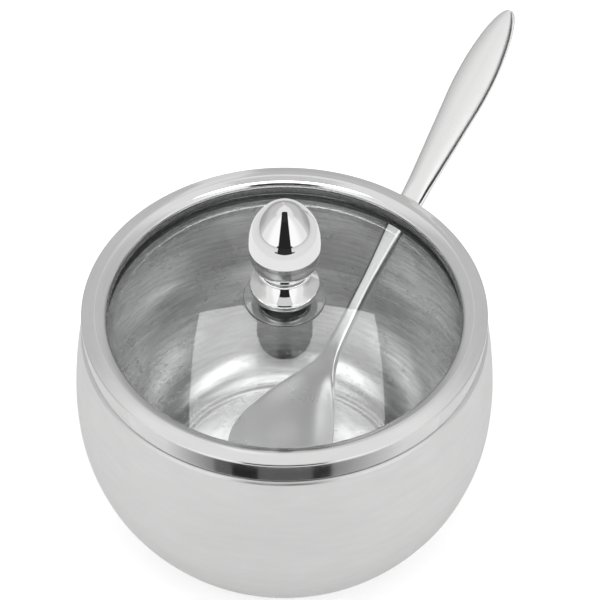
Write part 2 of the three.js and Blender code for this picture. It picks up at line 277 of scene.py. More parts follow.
class Signal:
    """A node output. Each operator adds the matching math node."""

    def __init__(self, nodes, socket):
        self.nodes = nodes
        self.socket = socket

    def __add__(self, other):
        return self.nodes.math("ADD", self, other)

    def __sub__(self, other):
        return self.nodes.math("SUBTRACT", self, other)

    def __rsub__(self, other):
        return self.nodes.math("SUBTRACT", other, self)

    def __mul__(self, other):
        return self.nodes.math("MULTIPLY", self, other)

    def __gt__(self, other):
        return self.nodes.math("GREATER_THAN", self, other)

    def __lt__(self, other):
        return self.nodes.math("LESS_THAN", self, other)

    def __abs__(self):
        return self.nodes.math("ABSOLUTE", self)


class Nodes:
    """Builds the node tree of a material or a world."""

    def __init__(self, data, output_kind):
        self.data = data
        data.use_nodes = True
        self.tree = data.node_tree
        self.tree.nodes.clear()
        self.output = self.node(output_kind)

    def put(self, socket, value):
        if isinstance(value, Signal):
            self.tree.links.new(value.socket, socket)
        else:
            socket.default_value = value

    def node(self, kind, inputs=None, **settings):
        node = self.tree.nodes.new(kind)
        for key, value in settings.items():
            setattr(node, key, value)
        for key, value in (inputs or {}).items():
            self.put(node.inputs[key], value)
        return node

    def out(self, node, output):
        return Signal(self, node.outputs[output])

    def value(self, kind, inputs=None, output=0, **settings):
        return self.out(self.node(kind, inputs, **settings), output)

    def finish(self, shader):
        self.put(self.output.inputs[0], shader)
        return self.data

    def math(self, operation, *values):
        return self.value("ShaderNodeMath", dict(enumerate(values)), operation=operation)

    def place(self):
        return self.value("ShaderNodeTexCoord", output="Object")

    def split(self, vector):
        node = self.node("ShaderNodeSeparateXYZ", {0: vector})
        return [self.out(node, i) for i in range(3)]

    def combine(self, x, y, z):
        return self.value("ShaderNodeCombineXYZ", {0: x, 1: y, 2: z})

    def stretch(self, vector, scale):
        return self.value("ShaderNodeMapping", {"Scale": scale, "Vector": vector})

    def dot(self, vector, axis):
        return self.value("ShaderNodeVectorMath", {0: vector, 1: tuple(axis)},
                          output="Value", operation="DOT_PRODUCT")

    def radius(self, x, y):
        return self.math("SQRT", x * x + y * y)

    def turn(self):
        """Cosine and sine of the angle round the axis, which leave no seam, and x, y, z."""
        x, y, z = self.split(self.place())
        angle = self.math("ARCTAN2", y, x)
        return self.math("COSINE", angle), self.math("SINE", angle), x, y, z

    def azimuth(self, x, y):
        """Degrees round the axis, 0 at -Y and positive towards +X."""
        return self.math("ARCTAN2", x, y * -1.0) * DEGREES

    def noise(self, vector, scale, detail, rough):
        inputs = {"Scale": scale, "Detail": detail, "Roughness": rough, "Vector": vector}
        return self.value("ShaderNodeTexNoise", inputs, output="Fac")

    def remap(self, value, to, span):
        """Map the span onto `to`, clamped."""
        inputs = {"From Min": span[0], "From Max": span[1],
                  "To Min": to[0], "To Max": to[1], "Value": value}
        return self.value("ShaderNodeMapRange", inputs, output="Result")

    def rise(self, value, start, end):
        """Smooth step from 0 at start to 1 at end."""
        inputs = {"From Min": start, "From Max": end, "Value": value}
        return self.value("ShaderNodeMapRange", inputs, output="Result",
                          interpolation_type="SMOOTHSTEP")

    def fall(self, value, start, end):
        return 1.0 - self.rise(value, start, end)

    def between(self, value, rise, fall):
        return self.rise(value, *rise) * self.fall(value, *fall)

    def mix_color(self, factor, a, b):
        return self.value("ShaderNodeMix", {0: factor, 6: (*a, 1), 7: (*b, 1)},
                          output=2, data_type="RGBA")

    def ramp(self, factor, stops):
        """Grey ramp through (position, value) stops."""
        node = self.node("ShaderNodeValToRGB", {0: factor})
        elements = node.color_ramp.elements
        while len(elements) > 1:
            elements.remove(elements[-1])
        for i, (position, grey) in enumerate(stops):
            element = elements[0] if i == 0 else elements.new(position)
            element.position = position
            element.color = (grey, grey, grey, 1)
        return self.out(node, 0)

    def bump(self, height, strength, distance):
        return self.value("ShaderNodeBump", {"Strength": strength, "Distance": distance,
                                             "Height": height})

    def mix_shader(self, factor, a, b):
        return self.value("ShaderNodeMixShader", {0: factor, 1: a, 2: b})


def material_nodes(name):
    return Nodes(bpy.data.materials.new(name), "ShaderNodeOutputMaterial")


# ---------------------------------------------------------------- materials --
# A grain gives four noises (fine, band, blotch, marks) and a list of further
# roughness terms.


def handling(k, place):
    """Broad blotches and smaller marks."""
    return (k.noise(place, scale=38, detail=5, rough=0.55),
            k.noise(place, scale=130, detail=3, rough=0.5))


def turned_grain(k, fineness):
    """Fine grooves round the axis: noise stretched a lot along the angle."""
    cosine, sine, x, y, z = k.turn()
    radius = k.radius(x, y)
    groove = k.combine(cosine * 0.005, sine * 0.005, z * 1.0 + radius * 0.5)
    smear = k.combine(cosine * 0.03, sine * 0.03, z + radius)
    return (k.noise(groove, scale=1500 * fineness, detail=3, rough=0.6),
            k.noise(groove, scale=1100 * fineness, detail=3, rough=0.6),
            k.noise(smear, scale=90, detail=4, rough=0.55),
            k.noise(smear, scale=700, detail=3, rough=0.5), [])


def blasted_grain(k, fineness):
    """Even speckle with faint bands round the axis."""
    fine = k.noise(k.place(), scale=3200 * fineness, detail=4, rough=0.7)
    cosine, sine, _, _, z = k.turn()
    rings = k.combine(cosine * 0.010, sine * 0.010, z)
    band = k.noise(rings, scale=500 * fineness, detail=3, rough=0.55)
    return fine, band, *handling(k, k.place()), []


def spoon_grain(k, fineness):
    """Grain along the spoon."""
    place = k.place()
    strand = k.combine(k.dot(place, ACROSS), k.dot(place, ALONG) * 0.03,
                       k.dot(place, OVER) * 0.3)
    fine = k.noise(strand, scale=1800 * fineness, detail=3, rough=0.6)
    band = k.noise(strand, scale=420 * fineness, detail=3, rough=0.5)
    place = k.place()
    # distances run along the spoon's direction from the world origin
    satin_handle = k.remap(k.dot(place, ALONG), to=(0.0, 0.13), span=(0.070, 0.085))
    dull_bowl = k.remap(k.dot(place, ALONG), to=(0.17, 0.0), span=(0.018, 0.046))
    return fine, band, *handling(k, place), [satin_handle, dull_bowl]


def polished_grain(k, fineness):
    """Fine grain drawn out along the axis."""
    place = k.place()
    fine = k.noise(k.stretch(place, (1.0, 1.0, 0.15)), scale=2200 * fineness,
                   detail=5, rough=0.6)
    band = k.noise(place, scale=60 * fineness, detail=3, rough=0.5)
    return fine, band, *handling(k, k.place()), []


def steel(name, color, rough, spread, grain, bump, smudge, streak=0.05, fineness=1.0,
          anisotropy=0.0):
    """Stainless steel. `spread` is how far the grain moves the roughness, `smudge` how
    far the blotches do as a share of it, and `streak` how far the bands move the color."""
    k = material_nodes(name)
    fine, band, blotch, marks, terms = grain(k, fineness)
    roughness = (k.remap(fine, to=(rough - spread, rough + spread), span=(0, 1))
                 + k.remap(blotch, to=(-smudge * rough, smudge * rough), span=(0.3, 0.7)))
    roughness = roughness + k.remap(marks, to=(-0.12 * rough, 0.12 * rough),
                                    span=(0.35, 0.65))
    for term in terms:
        roughness = roughness + term
    dark = tuple(v * (1 - streak) for v in color)
    light = tuple(min(1, v * (1 + streak)) for v in color)
    inputs = {
        "Base Color": k.mix_color(k.remap(band, to=(0, 1), span=(0.3, 0.7)), dark, light),
        "Metallic": 1.0,
        "Roughness": k.math("MAXIMUM", roughness, 0.015),
        "Normal": k.bump(fine * 1.0 + band * 0.6, strength=bump, distance=0.00006)}
    if anisotropy:
        inputs["Anisotropic"] = anisotropy
        inputs["Tangent"] = k.value("ShaderNodeTangent", direction_type="RADIAL", axis="Z")
    return k.finish(k.value("ShaderNodeBsdfPrincipled", inputs))


def glass(name):
    """Clear glass that lets shadow and diffuse rays straight through."""
    k = material_nodes(name)
    place = k.place()
    smear = k.noise(k.stretch(place, (1, 1, 0.2)), scale=24, detail=5, rough=0.6)
    ripple = k.noise(place, scale=30, detail=1, rough=0.5)
    clear = k.value("ShaderNodeBsdfPrincipled", {
        "Base Color": (0.985, 0.992, 0.99, 1),
        "Transmission Weight": 1.0,
        "IOR": 1.5,
        "Roughness": k.remap(smear, to=(0.002, 0.012), span=(0.3, 0.7)),
        "Normal": k.bump(ripple, strength=0.02, distance=0.0001)})
    open_path = k.value("ShaderNodeBsdfTransparent", {0: (0.955, 0.965, 0.962, 1)})
    path = k.node("ShaderNodeLightPath")
    skip = k.math("MAXIMUM", k.out(path, "Is Shadow Ray"), k.out(path, "Is Diffuse Ray"))
    return k.finish(k.mix_shader(skip, clear, open_path))


def silicone(name, color, rough, tint, bump, transmission=0.0):
    """Silicone rubber. `tint` is the pair of factors the color varies between."""
    k = material_nodes(name)
    place = k.place()
    grain = k.noise(place, scale=900, detail=4, rough=0.6)
    cloud = k.noise(place, scale=60, detail=3, rough=0.5)
    dark, light = (tuple(min(1, v * factor) for v in color) for factor in tint)
    inputs = {
        "Base Color": k.mix_color(cloud, dark, light),
        "Roughness": k.remap(grain, to=(rough * 0.65, rough * 1.35), span=(0.3, 0.7)),
        "Normal": k.bump(grain, strength=bump, distance=0.00005)}
    if transmission:
        inputs["Transmission Weight"] = transmission
        inputs["IOR"] = 1.41
    return k.finish(k.value("ShaderNodeBsdfPrincipled", inputs))


BOWL_SATIN = steel("bowl_satin", (0.80, 0.80, 0.797), rough=0.36, spread=0.04,
                   grain=blasted_grain, bump=0.05, smudge=0.05, streak=0.02)
BOWL_BRUSHED = steel("bowl_inner_brushed", (0.87, 0.87, 0.87), rough=0.24, spread=0.05,
                     grain=turned_grain, bump=0.02, smudge=0.10, streak=0.14,
                     anisotropy=0.5)
RING_STEEL = steel("ring_polish", (0.79, 0.79, 0.788), rough=0.10, spread=0.02,
                   grain=turned_grain, bump=0.015, smudge=0.3, streak=0.03, fineness=0.6)
KNOB_STEEL = steel("knob_polish", (0.87, 0.87, 0.868), rough=0.035, spread=0.008,
                   grain=polished_grain, bump=0.004, smudge=0.3, streak=0.02)
SPOON_STEEL = steel("spoon_polish", (0.88, 0.88, 0.876), rough=0.13, spread=0.02,
                    grain=spoon_grain, bump=0.004, smudge=0.2, streak=0.015)
PLATE_STEEL = steel("plate_steel", (0.86, 0.86, 0.86), rough=0.34, spread=0.06,
                    grain=turned_grain, bump=0.06, smudge=0.2)
PANE_GLASS = glass("pane_glass")
SEAL_DARK = silicone("seal_dark", (0.19, 0.192, 0.195), rough=0.26, tint=(0.8, 1.15),
                     bump=0.1)
WASHER_CLEAR = silicone("washer_clear", (0.96, 0.965, 0.965), rough=0.045,
                        tint=(0.97, 1.02), bump=0.01, transmission=1.0)

# --------------------------------------------------------------------- bowl --

# (r, z) up the outside, from the foot to the mouth
BOWL_OUTSIDE = [
    (28.5, 0), (30.2, 0.42), (32.3, 1.75), (36.4, 5.6), (39.4, 9.6), (42.0, 14.2),
    (44.1, 19.2), (45.6, 25.0), (46.3, 29.6), (46.5, 34.0), (46.4, 39.0), (45.9, 44.6),
    (45.2, 50.0), (44.4, 54.6), (43.9, 56.9)]
# (r, z) down the inside, from the mouth to the floor of the bowl
BOWL_INSIDE = [
    (42.4, 56.9), (42.55, 54.6), (43.9, 50.0), (44.75, 44.6), (45.25, 39.0), (45.3, 34.0),
    (45.15, 29.6), (44.4, 25.0), (42.9, 19.8), (40.9, 15.0), (38.3, 10.4), (35.3, 6.6),
    (31.6, 3.55), (29.3, 2.35)]
# (r, z) of the low bead round the floor of the bowl
BOWL_BEAD = [(28.9, 2.1), (28.5, 2.12), (28.0, 2.45), (27.5, 2.52), (27.0, 2.3),
             (26.5, 2.03), (26.0, 2.0)]
BOWL_LIP = (43.15, 57.2)


def bowl_face(r, z):
    """Material index: 1 for the brushed inside, 0 for the satin outside."""
    if 0.9 < z < 2.6 and r < 29.5:
        return 1
    outside = np.interp(z, [q[1] for q in BOWL_OUTSIDE], [q[0] for q in BOWL_OUTSIDE])
    return 1 if 1.9 < z < 56.8 and r < outside - 0.55 else 0


bowl = lathe("bowl_shell", profile((0, 0), [
    line(BOWL_OUTSIDE[:1], 0.8),
    curve(BOWL_OUTSIDE[1:], 0.45),
    curve([BOWL_LIP, BOWL_INSIDE[0]]),
    curve(BOWL_INSIDE[1:], 0.25),
    curve(BOWL_BEAD),
    line([(0, 2.0)])], steps=5), LARGE_STEPS, [BOWL_SATIN, BOWL_BRUSHED], bowl_face)

# dip in the lip under the shank
dip = bar_cutter(start=-6, end=3, below=SLOT_CLEARANCE, above=8)
subtract(bowl, dip)
bpy.data.objects.remove(dip)

# ------------------------------------------------------------ ring and seal --

ring = lathe("ring_shell", profile((42.5, 57.5), [
    *edges((43.4, 57.5, 0.22), (43.4, 62.42, 0.40)),
    curve([(42.6, 62.56), (41.5, 62.78), (40.3, 62.9)], 0.35),
    curve([(39.3, 62.42), (38.5, 61.95), (38.1, 61.55)], 0.15),
    *edges((38.1, 60.9, 0.1), (40.6, 60.9, 0.1), (40.6, 55.0, 0.2), (39.2, 54.9, 0.2),
           (39.2, 54.0, 0.2), (40.4, 53.5, 0), (41.2, 53.5, 0.2), (41.6, 54.0, 0.2),
           (41.6, 60.8, 0.2), (42.5, 60.8, 0.2), (42.5, 57.5, 0))]),
    LARGE_STEPS, [RING_STEEL])

# notch for the shank, open downwards, through both the ring and the seal
notch = bar_cutter(start=-9, end=6, below=14, above=SLOT_CLEARANCE)
subtract(ring, notch)

seal = lathe("seal_band", profile((40.3, 55.2), edges(
    (40.3, 60.6, 0.2), (38.0, 60.6, 0.25), (38.0, 59.45, 0.25), (39.1, 59.0, 0.1),
    (39.1, 55.9, 0.1), (38.2, 55.95, 0.1), (38.2, 55.2, 0.15), (40.3, 55.2, 0))),
    LARGE_STEPS, [SEAL_DARK])
subtract(seal, notch)
bpy.data.objects.remove(notch)

# -------------------------------------------------------------------- glass --

GLASS_RISE = GLASS_TOP - GLASS_EDGE
DOME_RADIUS = (GLASS_RADIUS * GLASS_RADIUS + GLASS_RISE * GLASS_RISE) / (2 * GLASS_RISE)
RIM_SOFTENING = 0.3        # height of each chamfer at the rim
RIM_INSET = 0.05


def glass_over(r):
    """Height of the glass's upper face."""
    return GLASS_TOP - (DOME_RADIUS - math.sqrt(DOME_RADIUS * DOME_RADIUS - r * r))


def glass_under(r):
    """Height of the glass's lower face."""
    return glass_over(r) - GLASS_THICKNESS


face_edge = GLASS_RADIUS - RIM_INSET
upper = [(r, glass_over(r)) for r in np.linspace(HOLE_RADIUS, face_edge, 30)]
lower = [(r, glass_under(r)) for r in np.linspace(face_edge, HOLE_RADIUS, 30)]
pane = lathe("glass_pane", profile(upper[0], [
    curve(upper[1:], 0.3),
    line([(GLASS_RADIUS, glass_over(GLASS_RADIUS) - RIM_SOFTENING),
          (GLASS_RADIUS, glass_under(GLASS_RADIUS) + RIM_SOFTENING), lower[0]], 0.3),
    curve(lower[1:], 0.2),
    line([upper[0]])], steps=2), LARGE_STEPS, [PANE_GLASS])

# --------------------------------------------------------------------- knob --


def above_foot(*points):
    """Points whose heights are given from the knob's foot."""
    return [(r, KNOB_FOOT + z, *rounding) for r, z, *rounding in points]


knob = lathe("knob_body", profile((0, KNOB_FOOT + 8.6), [
    # screw hole and flat foot
    *edges(*above_foot((1.3, 8.4, 0), (1.8, 7.9, 0), (1.8, 0, 0.15), (4.6, 0, 0.2))),
    # flange
    curve(above_foot((5.7, 0.6), (6.7, 1.5), (7.3, 2.5), (7.45, 3.35), (7.25, 4.0)), 0.2),
    # waist
    curve(above_foot((6.3, 4.55), (5.3, 5.3), (4.6, 6.3), (4.4, 7.3), (4.6, 8.1)), 0.1),
    # egg, up to its widest place and on to the top
    curve(above_foot((5.6, 8.7), (6.4, 9.7), (7.0, 10.9), (7.3, 12.3), (7.42, 13.6),
                     (7.45, 14.65)), 0.08),
    curve([*above_foot((7.39, 16.0), (7.26, 17.6), (6.74, 20.0), (5.7, 22.1),
                       (4.42, 23.8), (2.95, 25.15)),
           (1.37, KNOB_TOP - 0.33), (0, KNOB_TOP)])]), SMALL_STEPS, [KNOB_STEEL])

# --------------------------------------------------------- gaskets and screw --

gasket_edge = glass_over(TOP_GASKET_RADIUS)
gasket_top = KNOB_FOOT - 0.04
washer_top = lathe("washer_top", rounded_loop([
    (HOLE_RADIUS, GLASS_TOP + 0.03), (4.6, glass_over(4.6) + 0.05),
    (TOP_GASKET_RADIUS - 0.15, gasket_edge + 0.05), (TOP_GASKET_RADIUS, gasket_edge + 0.15),
    (TOP_GASKET_RADIUS, gasket_edge + 0.32), (TOP_GASKET_RADIUS - 0.2, gasket_edge + 0.42),
    (4.6, gasket_top), (HOLE_RADIUS, gasket_top)], rounding=0.06),
    SMALL_STEPS, [WASHER_CLEAR])

low_edge_z = glass_under(LOW_GASKET_RADIUS)
washer_low = lathe("washer_low", rounded_loop([
    (HOLE_RADIUS, glass_under(HOLE_RADIUS) - 0.06), (LOW_GASKET_RADIUS, low_edge_z - 0.06),
    (LOW_GASKET_RADIUS, low_edge_z - 0.8), (HOLE_RADIUS, low_edge_z - 0.8)]),
    SMALL_STEPS, [WASHER_CLEAR])

plate_top = low_edge_z - 0.84
plate_base = plate_top - 1.0
plate = lathe("plate_disc", rounded_loop([
    (2.2, plate_top), (5.4, plate_top), (5.6, plate_top - 0.2), (5.6, plate_base + 0.25),
    (5.35, plate_base), (2.2, plate_base)]), SMALL_STEPS, [PLATE_STEEL])

screw = lathe("screw_body", profile((0, plate_base - 1.3), [
    # recess in the head, then the head, then the shank up into the knob
    *edges((1.1, plate_base - 1.3, 0.1), (1.1, plate_base - 2.6, 0.12)),
    curve([(2.9, plate_base - 2.5), (3.6, plate_base - 1.7), (3.7, plate_base - 0.4),
           (3.4, plate_base - 0.05)], 0.1),
    *edges((1.5, plate_base - 0.05, 0.1), (1.5, KNOB_FOOT + 7.0, 0),
           (1.1, KNOB_FOOT + 7.6, 0), (0, KNOB_FOOT + 7.6, 0))], steps=4),
    SMALL_STEPS, [PLATE_STEEL])

# -------------------------------------------------------------------- spoon --

# bowl and neck: distance from the tip, half width, thickness, depth of the cup, lift
SPOON_BOWL = [
    (0.0, 0.8, 0.7, 0.0, 0.95), (0.35, 3.0, 0.95, 0.08, 0.88), (1.1, 5.2, 1.1, 0.3, 0.75),
    (2.6, 7.8, 1.15, 0.75, 0.5), (5.2, 10.5, 1.2, 1.6, 0.25), (8.8, 12.8, 1.2, 2.5, 0.05),
    (13.0, 13.9, 1.2, 3.4, 0), (17.5, 13.2, 1.2, 4.2, 0), (22.0, 11.4, 1.2, 4.6, 0),
    (26.5, 9.2, 1.25, 4.2, 0), (30.5, 6.9, 1.35, 3.0, -0.1), (34.0, 4.8, 1.5, 1.6, -0.25),
    (37.2, 3.1, 1.7, 0.6, -0.35), (40.5, 2.2, 1.9, 0.15, -0.32)]
# shank and handle: distance from the spoon origin, then the same columns
SPOON_HANDLE = [
    (-35.5, 1.9, 2.0, 0, -0.19), (-31.5, 1.75, 2.0, 0, -0.06), (-27.5, 1.7, 2.0, 0, 0),
    (-20, 1.7, 2.0, 0, 0), (-12, 2.15, 2.0, 0, 0), (-5, 2.7, 2.0, 0, 0),
    (1, 3.0, 2.0, 0, 0), (5.7, 3.2, 1.95, 0, 0), (10, 3.5, 1.9, 0, 0),
    (16, 3.93, 1.85, 0, 0), (22, 4.35, 1.8, 0, 0), (28.5, 4.8, 1.75, 0, 0),
    (34.5, 4.72, 1.7, 0, 0), (39.5, 4.2, 1.7, 0, 0), (44, 3.3, 1.6, 0, 0),
    (47, 2.2, 1.5, 0, 0), (48.5, 1.2, 1.3, 0, 0), (48.95, 0.5, 1.1, 0, 0)]
SPOON_STEPS = 20           # across each face


def spoon_section(along, half_width, thickness, cup, lift):
    """Points round one section: the upper face, then back along the lower one."""
    # a high exponent gives a flat face with crisp edges, a low one a soft crown
    flatness = 9.0 - 6.2 * min(1.0, max(0.0, (along + 6) / 12))
    points = []
    for side in (1, -1):
        shares = np.cos(np.linspace(math.pi, 0, SPOON_STEPS + 1)) * side
        if side == -1:
            shares = shares[1:-1]
        for x in shares:
            middle = lift - cup * (1 - x * x)
            half_thickness = 0.5 * thickness * (1 - abs(x) ** flatness) ** 0.5
            points.append(spoon_point(x * half_width, along, middle + side * half_thickness))
    return points


def make_spoon(name, material):
    stations = [(from_tip - SPOON_TIP, *rest) for from_tip, *rest in SPOON_BOWL]
    key = np.array(catmull(stations + SPOON_HANDLE, 6))
    key = key[np.argsort(key[:, 0], kind="stable")]   # the curve may overrun a station
    bm = bmesh.new()
    rows = []
    for along, half_width, thickness, cup, lift in key:
        section = spoon_section(along, max(half_width, 0.3), max(thickness, 0.5), cup, lift)
        rows.append([bm.verts.new(point) for point in section])
    count = len(rows[0])
    for a, b in zip(rows, rows[1:]):
        for j in range(count):
            k = (j + 1) % count
            bm.faces.new((a[j], a[k], b[k], b[j])).smooth = True
    for row, is_handle_end in ((rows[0], False), (rows[-1], True)):
        centre = bm.verts.new(sum((vert.co for vert in row), Vector()) / count)
        for j in range(count):
            k = (j + 1) % count
            pair = (row[j], row[k]) if is_handle_end else (row[k], row[j])
            bm.faces.new((*pair, centre)).smooth = True
    bmesh.ops.recalc_face_normals(bm, faces=bm.faces)
    return object_from_bmesh(name, bm, [material])


spoon = make_spoon("spoon_shape", SPOON_STEEL)

# ------------------------------------------------------------- frame pieces --

# object, CAD node it replaces, body it rides on, material slot
for obj, node, body, slot in (
        (bowl, "bowl_body", "bowl", "satin_steel"),
        (ring, "lid_ring", "lid", "polished_steel"),
        (seal, "lid_seal", "lid", "dark_silicone"),
        (pane, "lid_glass", "lid", "clear_glass"),
        (knob, "knob", "lid", "polished_steel"),
        (washer_top, "knob_gasket", "lid", "clear_silicone"),
        (washer_low, "under_gasket", "lid", "clear_silicone"),
        (plate, "backing_washer", "lid", "plain_steel"),
        (screw, "knob_screw", "lid", "plain_steel"),
        (spoon, "spoon", "spoon", "spoon_steel")):
    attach(obj, body)
    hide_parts(node)
    obj.data.set_sharp_from_angle(angle=SHARP_ANGLE)

# ------------------------------------------------------------ floor and cards --

FLOOR_HALF = 3.0
# The dark gap between the white panels, in degrees: its half width shrinks by
# GAP_NARROWING as the angle over the top (0 at -Y, 90 overhead) crosses GAP_SPAN.
GAP_HALF = 20.0
GAP_NARROWING = 7.5
GAP_SPAN = (-20, 110)
GAP_GLOW = 0.03            # brightness of the cards that continue the gap
EGG_HEIGHT = 0.0775        # only surfaces above this, on the knob, see those cards


def stage_mesh(name, verts, faces, material):
    mesh = bpy.data.meshes.new(name)
    mesh.from_pydata(verts, [], faces)
    mesh.materials.append(material)
    obj = new_object(name, mesh)
    return obj


def floor_material():
    """Matt white, lifted by a glow for the camera and a little in reflections."""
    k = material_nodes("floor_white")
    cloud = k.noise(k.place(), scale=9, detail=3, rough=0.5)
    white = k.mix_color(cloud, (0.915, 0.915, 0.915), (0.93, 0.93, 0.93))
    diffuse = k.value("ShaderNodeBsdfDiffuse", {0: white})
    path = k.node("ShaderNodeLightPath")
    lift = k.out(path, "Is Camera Ray") * 0.44 + k.out(path, "Is Glossy Ray") * 0.02
    glow = k.value("ShaderNodeEmission", {"Strength": lift})
    return k.finish(k.value("ShaderNodeAddShader", {0: diffuse, 1: glow}))


def ray_start(k):
    """x, y, z of the surface that the ray reaching a card has left."""
    geometry = k.node("ShaderNodeNewGeometry")
    length = k.value("ShaderNodeLightPath", output="Ray Length")
    back = k.value("ShaderNodeVectorMath", {0: k.out(geometry, "Incoming"), "Scale": length},
                   operation="SCALE")
    return k.split(k.value("ShaderNodeVectorMath",
                           {0: k.out(geometry, "Position"), 1: back}, operation="ADD"))


def card(k, name, verts, faces, shown, strength, color=(1, 1, 1, 1)):
    """A glowing card seen only in reflections and through glass, as far as `shown`."""
    glow = k.value("ShaderNodeEmission", {"Color": color, "Strength": strength})
    clear = k.value("ShaderNodeBsdfTransparent")
    obj = stage_mesh(name, verts, faces, k.finish(k.mix_shader(shown, clear, glow)))
    obj.visible_camera = False
    obj.visible_diffuse = False
    obj.visible_shadow = False


def shade_fan(name, inner, outer, spread, z=0.0008):
    """A glowing card for a painted reflection: a fan on the floor in front of the bowl,
    darkest near the middle, that paints shade into the polished ring. Rays that leave from
    below the ring, the satin wall among them, see it at a tenth of its strength."""
    turns, rings = 60, 10
    verts, faces = [], []
    for i in range(turns + 1):
        angle = math.radians(-spread + 2 * spread * i / turns)
        for j in range(rings + 1):
            r = inner + (outer - inner) * j / rings
            verts.append((r * math.sin(angle), -r * math.cos(angle), z))
    for i in range(turns):
        for j in range(rings):
            v = i * (rings + 1) + j
            faces.append((v, v + 1, v + rings + 2, v + rings + 1))
    # azimuth in degrees and brightness
    shades = [
        (-spread, 0.85), (-54, 0.80), (-42, 0.5), (-31, 0.27), (-29.5, 0.13),
        (-22.7, 0.11), (-22.2, 0.02), (-11.5, 0.02), (-11.0, 0.12), (11.8, 0.11),
        (12.3, 0.02), (19.6, 0.03), (20.6, 0.25), (30, 0.40), (54, 0.80), (spread, 0.85)]
    k = material_nodes(name + "_mat")
    x, y, _ = k.split(k.place())
    color = k.ramp(k.remap(k.azimuth(x, y), to=(0, 1), span=(-spread, spread)),
                   [((angle + spread) / (2 * spread), grey) for angle, grey in shades])
    _, _, height = ray_start(k)
    # painted shade in reflections: full from the ring, a tenth from the surfaces below it
    shown = k.remap(height, to=(0.10, 1.0), span=(0.0565, 0.0572))
    card(k, name, verts, faces, shown, strength=1.0, color=color)


def egg_card(name, verts):
    """A dark strip of (left, right) vertex pairs that only the knob's egg reflects."""
    # both strips keep the face winding given by their own vertex order
    k = material_nodes(name + "_mat")
    _, _, height = ray_start(k)
    return k, verts, height > EGG_HEIGHT


def gap_overhead(name, start, end, radius=0.5, centre_z=0.085):
    """The upper part of the dark gap, as an arc overhead."""
    steps = 24
    verts = []
    for i in range(steps + 1):
        angle = start + (end - start) * i / steps
        t = (angle - GAP_SPAN[0]) / (GAP_SPAN[1] - GAP_SPAN[0])
        half = math.radians(GAP_HALF - GAP_NARROWING * t * t * (3 - 2 * t))
        x, reach = math.sin(half) * radius, math.cos(half) * radius
        y = -reach * math.cos(math.radians(angle))
        z = reach * math.sin(math.radians(angle)) + centre_z
        verts += [(-x, y, z), (x, y, z)]
    faces = [(2 * i, 2 * i + 1, 2 * i + 3, 2 * i + 2) for i in range(steps)]
    k, verts, shown = egg_card(name, verts)
    card(k, name, verts, faces, shown, strength=GAP_GLOW)


def gap_foot(name, near, far, widening, z=0.0009):
    """The foot of the dark gap: a strip along the floor, opening wider at its near end."""
    wide = GAP_HALF + widening
    # distance from the axis towards -Y, half angle in degrees
    rows = [(near, wide), (near * 1.22, wide), (near * 1.26, 21.5), (0.6, 20.2),
            (far, GAP_HALF)]
    verts = []
    for distance, angle in rows:
        slope = math.tan(math.radians(angle))
        verts += [(-distance * slope, -distance, z), (distance * slope, -distance, z)]
    faces = [(2 * i + 1, 2 * i, 2 * i + 2, 2 * i + 3) for i in range(len(rows) - 1)]
    k, verts, shown = egg_card(name, verts)
    card(k, name, verts, faces, shown, strength=GAP_GLOW)


def lid_card(name, inner, outer, z, steps=96):
    """A pale ring over the lid that only the egg's upper part reflects."""
    verts, faces = [], []
    for i in range(steps):
        angle = 2 * math.pi * i / steps
        verts += [(r * math.cos(angle), r * math.sin(angle), z) for r in (inner, outer)]
        j = (i + 1) % steps
        faces.append((2 * i, 2 * i + 1, 2 * j + 1, 2 * j))
    k = material_nodes(name + "_mat")
    x, y, height = ray_start(k)
    shown = (height > 0.0801) * (k.radius(x, y) < 0.0076)
    card(k, name, verts, faces, shown, strength=0.90)


def softbox(name, x0, x1, y0, y1, z, direct, through):
    """A lit panel overhead, a little dimmer along its middle. `direct` is its power in
    the glass's own reflection and `through` its power by way of the glass."""
    k = material_nodes(name + "_mat")
    x, _, _ = k.split(k.place())
    # share of the width and brightness
    color = k.ramp(k.remap(x, to=(0, 1), span=(x0, x1)), [
        (0.0, 0.92), (0.03, 1.0), (0.34, 1.0), (0.36, 0.86), (0.72, 0.84), (0.80, 1.0),
        (1.0, 0.95)])
    inside = k.value("ShaderNodeLightPath", output="Transmission Depth") > 0.5
    start_x, start_y, height = ray_start(k)
    # the space that holds the glass
    on_pane = (height < 0.0656) * (k.radius(start_x, start_y) < 0.0389)
    on_pane = on_pane * (height > 0.0582)
    power = (1.0 - inside) * direct + inside * through
    card(k, name, [(x0, y0, z), (x1, y0, z), (x1, y1, z), (x0, y1, z)], [(0, 1, 2, 3)],
         k.math("MAXIMUM", on_pane, inside), strength=power, color=color)


stage_mesh("floor", [(-FLOOR_HALF, -FLOOR_HALF, 0), (FLOOR_HALF, -FLOOR_HALF, 0),
                     (FLOOR_HALF, FLOOR_HALF, 0), (-FLOOR_HALF, FLOOR_HALF, 0)],
           [(0, 1, 2, 3)], floor_material())
shade_fan("shade_front", inner=0.076, outer=0.101, spread=75)
gap_overhead("gap_over", start=56.0, end=91.0)
gap_foot("gap_floor", near=0.225, far=2.95, widening=9.0)
lid_card("lid_glow", inner=0.020, outer=0.0432, z=0.0634)
PANEL_RISE = 0.62          # height of the overhead panel above the glass
softbox("panel_top", x0=-0.40 * PANEL_RISE, x1=0.42 * PANEL_RISE, y0=-0.30 * PANEL_RISE,
        y1=0.87 * PANEL_RISE, z=0.065 + PANEL_RISE, direct=6.5, through=1.10)

# -------------------------------------------------------------------- world --


